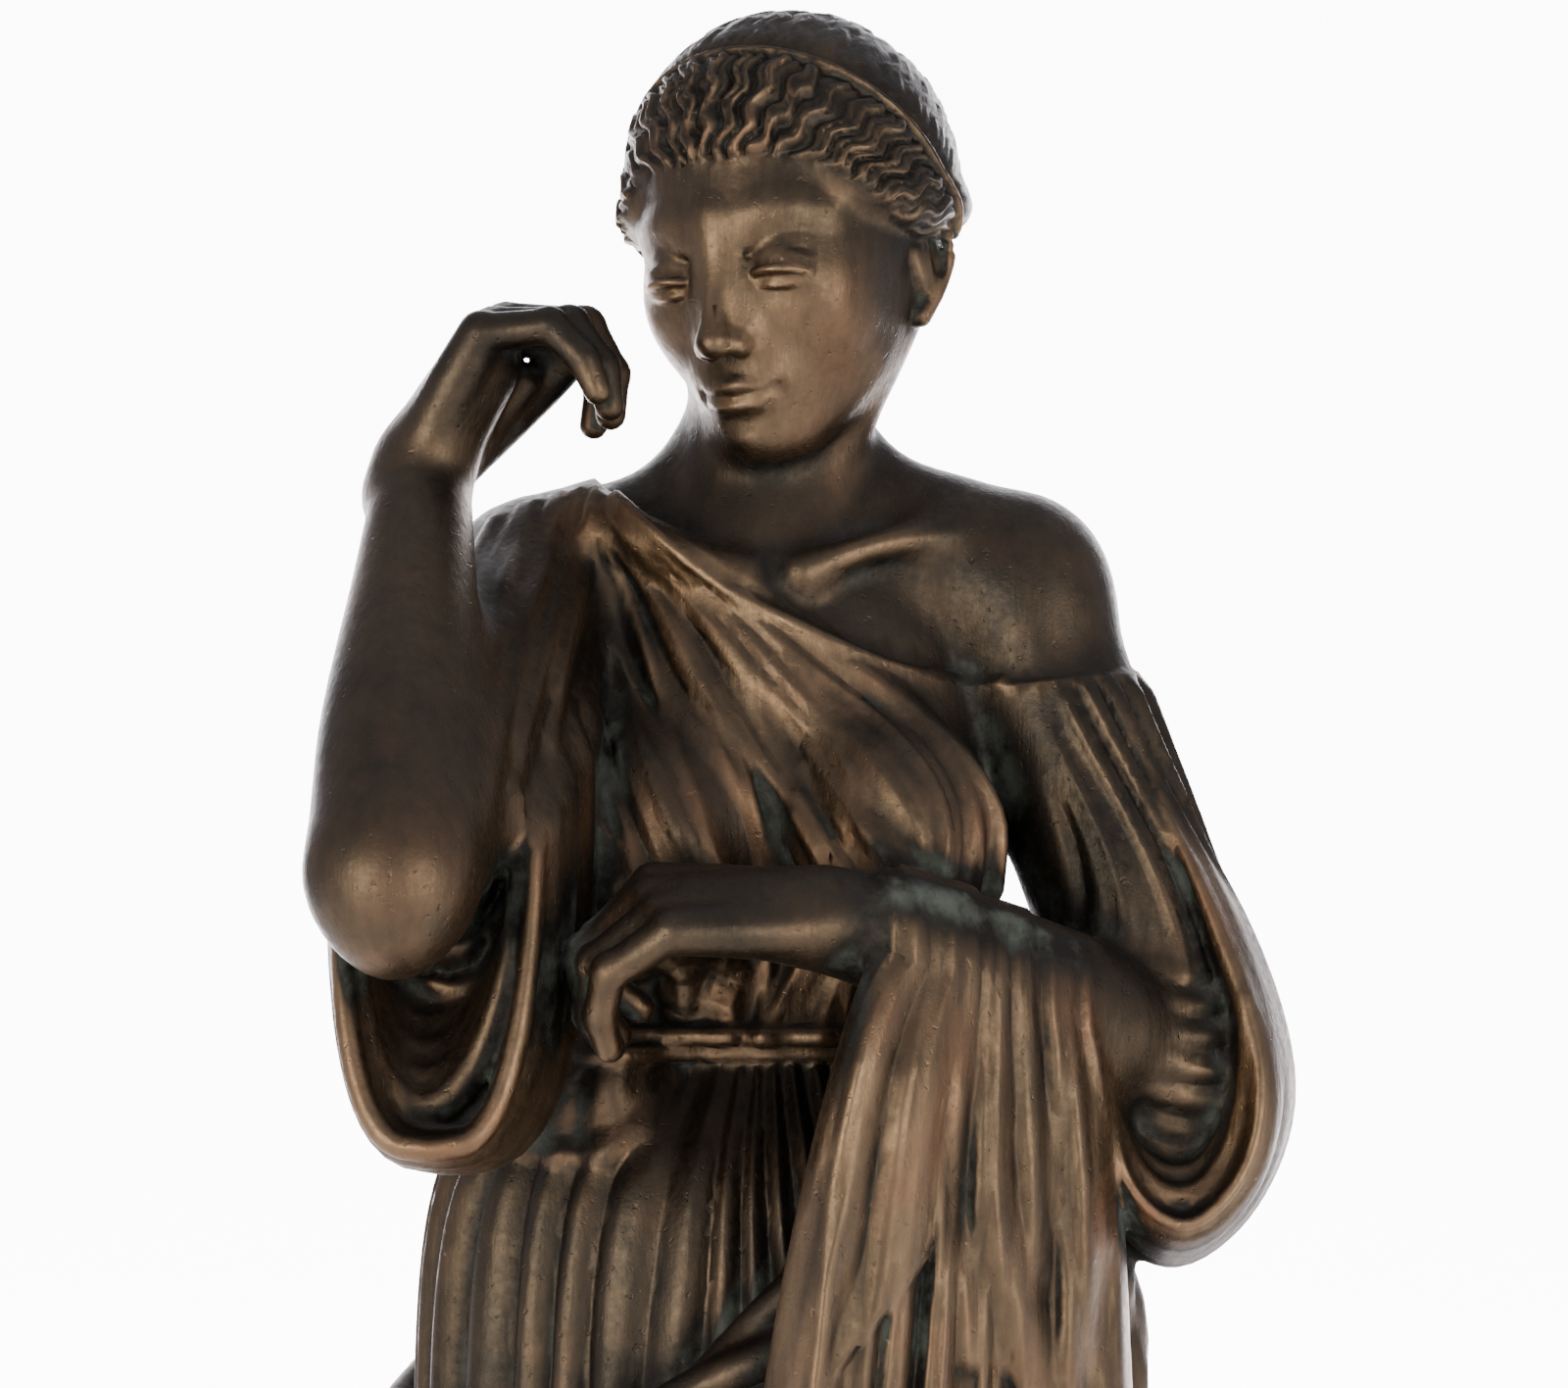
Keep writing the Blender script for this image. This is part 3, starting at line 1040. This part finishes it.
def markWear(made, clay):
    # how closed in and how ridged the surface is at each point, for the patina
    mesh = made.data
    places = (vertexPlaces(mesh) - (0, 0, soles)) / figure["step"]
    normals = np.empty(len(places) * 3, np.float32)
    mesh.vertex_normals.foreach_get("vector", normals)
    normals = normals.reshape(-1, 3).astype(float)
    hollow, ridge = 0, 0
    for reach, share in wearMarks["hollow"]:
        hollow = hollow + share * np.clip(1 - clay.sample(places + normals * reach) / reach, 0, 1)
    for reach, share in wearMarks["ridge"]:
        ridge = ridge + share * np.clip(1 + clay.sample(places - normals * reach) / reach, 0, 1)
    face = headPoint(wearMarks["face"])[0]
    handled = np.clip(1.5 - np.linalg.norm(places - face, axis=1) / wearMarks["faceReach"], 0, 1)
    hollow = hollow * (1 - 0.6 * handled)
    ridge = np.maximum(ridge, 0.3 * handled)
    for name, values in (("hollow", hollow), ("ridge", ridge)):
        mesh.attributes.new(name, "FLOAT", "POINT").data.foreach_set("value", values.astype(np.float32))
        print(name, np.round(np.percentile(values, (5, 25, 50, 75, 95)), 2))


clay = modelFigure()
figureSkin = meshFromClay(clay, "figure_clay")
figureSkin = thinned(figureSkin)
markWear(figureSkin, clay)


# Plinth: turned, a foot and a top with a cove between them. The profile is given as shares of the
# height and of the cove's depth.
plinth = {
    "rims": 160,
    "rings": 60,
    "cove": 0.006,
    "crease": 35,
    "profile": [(0, 0.16), (0.03, 0.02), (0.22, 0.0), (0.262, 0.08), (0.266, 0.3), (0.30, 0.34),
                (0.36, 0.72), (0.50, 1.0), (0.66, 0.74), (0.72, 0.36), (0.762, 0.32), (0.766, 0.12),
                (0.80, 0.0), (0.95, 0.0), (0.985, 0.06), (1, 0.24)],
}


def mathNode(tree, operation, first, second=None, clamp=False):
    node = tree.nodes.new("ShaderNodeMath")
    node.operation = operation
    node.use_clamp = clamp
    for place, value in enumerate((first, second)):
        if isinstance(value, (int, float)):
            node.inputs[place].default_value = value
        elif value is not None:
            tree.links.new(value, node.inputs[place])
    return node.outputs[0]


def times(tree, first, second, clamp=False):
    return mathNode(tree, "MULTIPLY", first, second, clamp)


def plus(tree, first, second, clamp=False):
    return mathNode(tree, "ADD", first, second, clamp)


def turnedTree(name):
    tree = bpy.data.node_groups.new(name, "GeometryNodeTree")
    socket = tree.interface.new_socket
    socket("Geometry", in_out="OUTPUT", socket_type="NodeSocketGeometry")
    for label in ("Radius", "Height", "Cove Depth"):
        socket(label, in_out="INPUT", socket_type="NodeSocketFloat")
    for label in ("Rim Points", "Rings"):
        socket(label, in_out="INPUT", socket_type="NodeSocketInt")
    socket("Finish", in_out="INPUT", socket_type="NodeSocketMaterial")
    nodes, links = tree.nodes, tree.links
    start, end = nodes.new("NodeGroupInput"), nodes.new("NodeGroupOutput")
    drum = nodes.new("GeometryNodeMeshCylinder")
    drum.inputs["Radius"].default_value = 1
    links.new(start.outputs["Rim Points"], drum.inputs["Vertices"])
    links.new(start.outputs["Rings"], drum.inputs["Side Segments"])
    links.new(start.outputs["Height"], drum.inputs["Depth"])
    place = nodes.new("GeometryNodeInputPosition")
    parts = nodes.new("ShaderNodeSeparateXYZ")
    links.new(place.outputs["Position"], parts.inputs[0])
    share = mathNode(tree, "DIVIDE", parts.outputs["Z"], start.outputs["Height"])
    share = plus(tree, share, 0.5)
    profile = nodes.new("ShaderNodeFloatCurve")
    curve = profile.mapping.curves[0]
    for at, value in plinth["profile"][1:-1]:
        curve.points.new(at, value)
    curve.points[0].location = plinth["profile"][0]
    curve.points[-1].location = plinth["profile"][-1]
    profile.mapping.update()
    links.new(share, profile.inputs["Value"])
    inset = times(tree, profile.outputs["Value"], start.outputs["Cove Depth"])
    radius = mathNode(tree, "SUBTRACT", start.outputs["Radius"], inset)
    joined = nodes.new("ShaderNodeCombineXYZ")
    links.new(times(tree, parts.outputs["X"], radius), joined.inputs["X"])
    links.new(times(tree, parts.outputs["Y"], radius), joined.inputs["Y"])
    lifted = times(tree, start.outputs["Height"], 0.5)
    links.new(plus(tree, parts.outputs["Z"], lifted), joined.inputs["Z"])
    moved = nodes.new("GeometryNodeSetPosition")
    links.new(drum.outputs["Mesh"], moved.inputs["Geometry"])
    links.new(joined.outputs[0], moved.inputs["Position"])
    realized = nodes.new("GeometryNodeRealizeInstances")
    finish = nodes.new("GeometryNodeSetMaterial")
    links.new(moved.outputs["Geometry"], realized.inputs["Geometry"])
    links.new(realized.outputs["Geometry"], finish.inputs["Geometry"])
    links.new(start.outputs["Finish"], finish.inputs["Material"])
    links.new(finish.outputs["Geometry"], end.inputs["Geometry"])
    return tree


def setInput(modifier, label, value):
    for item in modifier.node_group.interface.items_tree:
        if item.item_type == "SOCKET" and item.in_out == "INPUT" and item.name == label:
            modifier[item.identifier] = value


def makePlinth(material):
    low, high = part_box("plinth")
    made = newObject("plinth_making", bpy.data.meshes.new("plinth_making"))
    modifier = made.modifiers.new("turned", "NODES")
    modifier.node_group = turnedTree("turnedPlinth")
    setInput(modifier, "Radius", high.x)
    setInput(modifier, "Height", high.z - low.z)
    setInput(modifier, "Cove Depth", plinth["cove"])
    setInput(modifier, "Rim Points", plinth["rims"])
    setInput(modifier, "Rings", plinth["rings"])
    setInput(modifier, "Finish", material)
    evaluated = made.evaluated_get(bpy.context.evaluated_depsgraph_get())
    mesh = bpy.data.meshes.new_from_object(evaluated)
    bpy.data.objects.remove(made)
    mesh.name = "plinth_turned"
    mesh.shade_smooth()
    mesh.set_sharp_from_angle(angle=math.radians(plinth["crease"]))
    return newObject("plinth_turned", mesh)


# Finishes
patina = {
    "dark": (0.038, 0.034, 0.028),
    "brown": (0.090, 0.071, 0.047),
    "rubbed": (0.315, 0.207, 0.113),
    "copper": (0.27, 0.115, 0.06),
    "green": (0.115, 0.135, 0.10),
    "dust": (0.22, 0.20, 0.18),
    "speck": (0.55, 0.47, 0.34),
    "bumpStrength": 0.35,
    "bumpDepth": 0.0006,
}
# Noises of the finishes: how many to a metre, their detail and their roughness
noises = {
    "clouds": (22, 4, 0.55),
    "warm": (45, 3, 0.5),
    "blotches": (90, 5, 0.6),
    "streaks": (420, 3, 0.6),
    "grain": (700, 3, 0.6),
    "soft": (240, 4, 0.55),
    "pits": (600, 2, 0.5),
    "strokes": (900, 2, 0.5),
    "fine": (1500, 3, 0.6),
    "specks": 170,
}


def shaderGroup(name, inputs, outputs):
    tree = bpy.data.node_groups.new(name, "ShaderNodeTree")
    for label, kind, value in inputs:
        made = tree.interface.new_socket(label, in_out="INPUT", socket_type=kind)
        if value is not None:
            made.default_value = value
    for label, kind in outputs:
        tree.interface.new_socket(label, in_out="OUTPUT", socket_type=kind)
    return tree, tree.nodes.new("NodeGroupInput"), tree.nodes.new("NodeGroupOutput")


def noiseNode(tree, vector, name):
    scale, detail, roughness = noises[name]
    node = tree.nodes.new("ShaderNodeTexNoise")
    node.inputs["Scale"].default_value = scale
    node.inputs["Detail"].default_value = detail
    node.inputs["Roughness"].default_value = roughness
    tree.links.new(vector, node.inputs["Vector"])
    return node.outputs["Fac"]


def stretchNode(tree, vector, upright):
    node = tree.nodes.new("ShaderNodeMapping")
    node.inputs["Scale"].default_value = (1, 1, upright)
    tree.links.new(vector, node.inputs["Vector"])
    return node.outputs["Vector"]


def rangeNode(tree, value, low, high, toLow=0.0, toHigh=1.0):
    node = tree.nodes.new("ShaderNodeMapRange")
    for label, amount in (("From Min", low), ("From Max", high), ("To Min", toLow), ("To Max", toHigh)):
        node.inputs[label].default_value = amount
    tree.links.new(value, node.inputs["Value"])
    return node.outputs["Result"]


def mixColour(tree, share, first, second):
    node = tree.nodes.new("ShaderNodeMix")
    node.data_type = "RGBA"
    tree.links.new(share, node.inputs["Factor"])
    for label, value in (("A", first), ("B", second)):
        socket = next(each for each in node.inputs if each.name == label and each.type == "RGBA")
        if isinstance(value, tuple):
            socket.default_value = (*value, 1)
        else:
            tree.links.new(value, socket)
    return next(each for each in node.outputs if each.type == "RGBA")


def patinaGroup():
    floatKind = "NodeSocketFloat"
    tree, start, end = shaderGroup(
        "bronzePatina",
        [("Vector", "NodeSocketVector", None), ("Hollow", floatKind, 0.0), ("Ridge", floatKind, 0.0),
         ("Up", floatKind, 0.0), ("Rub", floatKind, 1.0), ("Green", floatKind, 1.0)],
        [("Color", "NodeSocketColor"), ("Roughness", floatKind), ("Metal", floatKind)])
    vector = start.outputs["Vector"]
    clouds = noiseNode(tree, vector, "clouds")
    blotches = noiseNode(tree, vector, "blotches")
    grain = noiseNode(tree, vector, "grain")
    streaks = noiseNode(tree, stretchNode(tree, vector, 0.16), "streaks")
    shaded = rangeNode(tree, start.outputs["Hollow"], 0.05, 0.5, 1.0, 0.0)
    under = rangeNode(tree, start.outputs["Up"], -0.1, 0.75, 1.0, 0.12)
    body = rangeNode(tree, plus(tree, times(tree, clouds, 1.1), times(tree, streaks, 0.3)), 0.35, 0.95)
    body = times(tree, body, times(tree, shaded, under))
    colour = mixColour(tree, body, patina["dark"], patina["brown"])
    ridged = rangeNode(tree, start.outputs["Ridge"], 0.04, 0.5)
    wear = plus(tree, ridged, rangeNode(tree, clouds, 0.38, 0.68, 0.0, 0.4))
    wear = plus(tree, wear, rangeNode(tree, blotches, 0.4, 0.75, -0.06, 0.16))
    wear = times(tree, wear, rangeNode(tree, start.outputs["Hollow"], 0.0, 0.36, 1.0, 0.0))
    wear = times(tree, wear, rangeNode(tree, start.outputs["Up"], -0.1, 0.8, 1.0, 0.2))
    wear = times(tree, wear, rangeNode(tree, streaks, 0.25, 0.6, 0.65, 1.05))
    wear = times(tree, wear, start.outputs["Rub"], clamp=True)
    colour = mixColour(tree, wear, colour, patina["rubbed"])
    warm = times(tree, rangeNode(tree, noiseNode(tree, vector, "warm"), 0.5, 0.72), 0.5)
    colour = mixColour(tree, times(tree, warm, wear), colour, patina["copper"])
    green = times(tree, rangeNode(tree, start.outputs["Hollow"], 0.28, 0.62),
                     rangeNode(tree, blotches, 0.44, 0.62))
    green = times(tree, green, start.outputs["Green"], clamp=True)
    colour = mixColour(tree, times(tree, green, 0.7), colour, patina["green"])
    dust = times(tree, rangeNode(tree, start.outputs["Up"], 0.2, 0.9),
                    rangeNode(tree, start.outputs["Hollow"], 0.15, 0.5))
    dust = times(tree, dust, rangeNode(tree, clouds, 0.45, 0.65, 0.0, 0.45))
    colour = mixColour(tree, dust, colour, patina["dust"])
    specks = tree.nodes.new("ShaderNodeTexVoronoi")
    specks.inputs["Scale"].default_value = noises["specks"]
    tree.links.new(vector, specks.inputs["Vector"])
    speck = times(tree, rangeNode(tree, specks.outputs["Distance"], 0.05, 0.09, 1, 0),
                     rangeNode(tree, blotches, 0.6, 0.66))
    colour = mixColour(tree, times(tree, speck, 0.7), colour, patina["speck"])
    rough = rangeNode(tree, start.outputs["Hollow"], 0.0, 0.6, 0.4, 0.66)
    rough = plus(tree, rough, rangeNode(tree, grain, 0.3, 0.7, -0.05, 0.09))
    rough = plus(tree, rough, rangeNode(tree, start.outputs["Up"], 0.2, 0.9, 0.0, 0.14))
    rough = plus(tree, rough, times(tree, plus(tree, speck, dust), 0.3))
    metal = rangeNode(tree, plus(tree, green, dust, clamp=True), 0.0, 1.0, 1.0, 0.3)
    for label, value in (("Color", colour), ("Roughness", rough), ("Metal", metal)):
        tree.links.new(value, end.inputs[label])
    return tree


def castGroup():
    tree, start, end = shaderGroup(
        "castSurface", [("Vector", "NodeSocketVector", None), ("Pits", "NodeSocketFloat", 1.0)],
        [("Height", "NodeSocketFloat")])
    vector = start.outputs["Vector"]
    soft = noiseNode(tree, vector, "soft")
    fine = noiseNode(tree, vector, "fine")
    strokes = noiseNode(tree, stretchNode(tree, vector, 0.12), "strokes")
    pits = rangeNode(tree, noiseNode(tree, vector, "pits"), 0.66, 0.74, 0, -1)
    height = plus(tree, times(tree, soft, 0.5), times(tree, fine, 0.22))
    height = plus(tree, height, times(tree, strokes, 0.3))
    pitted = times(tree, pits, start.outputs["Pits"])
    tree.links.new(plus(tree, height, pitted), end.inputs["Height"])
    return tree


def bronze(name, groups, worn, rub, green, pits):
    material = bpy.data.materials.new(name)
    material.use_nodes = True
    tree = material.node_tree
    shader = tree.nodes["Principled BSDF"]
    places = tree.nodes.new("ShaderNodeTexCoord")
    colour = tree.nodes.new("ShaderNodeGroup")
    colour.node_tree = groups[0]
    surface = tree.nodes.new("ShaderNodeGroup")
    surface.node_tree = groups[1]
    for node in (colour, surface):
        tree.links.new(places.outputs["Object"], node.inputs["Vector"])
    colour.inputs["Rub"].default_value = rub
    colour.inputs["Green"].default_value = green
    surface.inputs["Pits"].default_value = pits
    if worn:
        for label in ("hollow", "ridge"):
            reader = tree.nodes.new("ShaderNodeAttribute")
            reader.attribute_name = label
            tree.links.new(reader.outputs["Fac"], colour.inputs[label.title()])
    facing = tree.nodes.new("ShaderNodeNewGeometry")
    parts = tree.nodes.new("ShaderNodeSeparateXYZ")
    tree.links.new(facing.outputs["Normal"], parts.inputs[0])
    tree.links.new(parts.outputs["Z"], colour.inputs["Up"])
    tree.links.new(colour.outputs["Color"], shader.inputs["Base Color"])
    tree.links.new(colour.outputs["Roughness"], shader.inputs["Roughness"])
    tree.links.new(colour.outputs["Metal"], shader.inputs["Metallic"])
    bump = tree.nodes.new("ShaderNodeBump")
    bump.inputs["Strength"].default_value = patina["bumpStrength"]
    bump.inputs["Distance"].default_value = patina["bumpDepth"]
    tree.links.new(surface.outputs["Height"], bump.inputs["Height"])
    tree.links.new(bump.outputs["Normal"], shader.inputs["Normal"])
    return material


groups = (patinaGroup(), castGroup())
figureSkin.data.materials.clear()
figureSkin.data.materials.append(bronze("wornBrownBronze", groups, True, 1.0, 1.0, 0.5))
plinthSkin = makePlinth(bronze("darkTurnedBronze", groups, False, 0.55, 0.4, 0.7))
for piece, node, slotName in ((figureSkin, "figure", "figure_bronze"),
                              (plinthSkin, "plinth", "plinth_bronze")):
    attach(piece, "root")
    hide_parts(node)
print("bronze finished")


# Stage, light and camera
stage = {
    "floor": 6.0,
    "underFoot": 0.0002,
    "wall": 1.6,
    "wallSize": (2.2, 1.7),
    "wallLight": 11,
    "floorColour": (0.78, 0.78, 0.79),
    "wallColour": (0.96, 0.95, 1.0),
    "airColour": (0.60, 0.60, 0.70),
    "airLight": 0.85,
}
lights = [
    {"name": "low front left", "place": (-0.9, -1.5, 0.30), "size": (1.2, 0.8), "power": 14,
     "colour": (1, 0.94, 0.87)},
    {"name": "low front right", "place": (1.1, -1.3, 0.35), "size": (1.0, 0.8), "power": 9,
     "colour": (1, 0.95, 0.9)},
    {"name": "overhead", "place": (0.2, 0.3, 1.9), "size": (1.6, 1.6), "power": 3,
     "colour": (0.92, 0.95, 1)},
]
camera = {
    "place": (0.00175, -0.550, 0.5075),
    "aim": (0.00175, 0, 0.5075),
    "lens": 70.5,
    "sensor": 36.0,
    "near": 0.01,
}


def plainMaterial(name, colour, glow=0.0):
    material = bpy.data.materials.new(name)
    material.use_nodes = True
    shader = material.node_tree.nodes["Principled BSDF"]
    shader.inputs["Base Color"].default_value = (*colour, 1)
    shader.inputs["Roughness"].default_value = 0.9
    shader.inputs["Emission Color"].default_value = (*colour, 1)
    shader.inputs["Emission Strength"].default_value = glow
    return material


def sheetObject(name, corners, material):
    mesh = bpy.data.meshes.new(name)
    mesh.from_pydata(corners, [], [(0, 1, 2, 3)])
    mesh.materials.append(material)
    made = newObject(name, mesh)
    return made


def makeStage():
    reach = stage["floor"] / 2
    floorAt = cadLow[2] - stage["underFoot"]
    corners = [(x * reach, y * reach, floorAt) for x, y in ((-1, -1), (1, -1), (1, 1), (-1, 1))]
    sheetObject("stage_floor", corners, plainMaterial("paleFloor", stage["floorColour"]))
    wide, tall = stage["wallSize"][0] / 2, stage["wallSize"][1]
    away = stage["wall"]
    corners = [(-wide, away, floorAt), (wide, away, floorAt), (wide, away, tall), (-wide, away, tall)]
    paleBackdrop = plainMaterial("paleBackdrop", stage["wallColour"], stage["wallLight"])
    sheetObject("stage_backdrop", corners, paleBackdrop)
    world = bpy.data.worlds.new("studio")
    bpy.context.scene.world = world
    world.use_nodes = True
    air = world.node_tree.nodes["Background"]
    air.inputs["Color"].default_value = (*stage["airColour"], 1)
    air.inputs["Strength"].default_value = stage["airLight"]


def turnedTo(place, target):
    return (Vector(target) - Vector(place)).to_track_quat("-Z", "Y").to_euler()


def makeLights():
    for light in lights:
        lamp = bpy.data.lights.new(light["name"], "AREA")
        lamp.shape = "RECTANGLE"
        lamp.size, lamp.size_y = light["size"]
        lamp.energy = light["power"]
        lamp.color = light["colour"]
        made = newObject(light["name"], lamp)
        made.location = light["place"]
        made.rotation_euler = turnedTo(light["place"], (0, 0, 0.5))


def makeCamera():
    view = bpy.data.cameras.new("camera")
    view.lens = camera["lens"]
    view.sensor_width = camera["sensor"]
    view.clip_start = camera["near"]
    made = newObject("camera", view)
    made.location = camera["place"]
    made.rotation_euler = turnedTo(camera["place"], camera["aim"])
    bpy.context.scene.camera = made


makeStage()
makeLights()
makeCamera()
print("stage set")
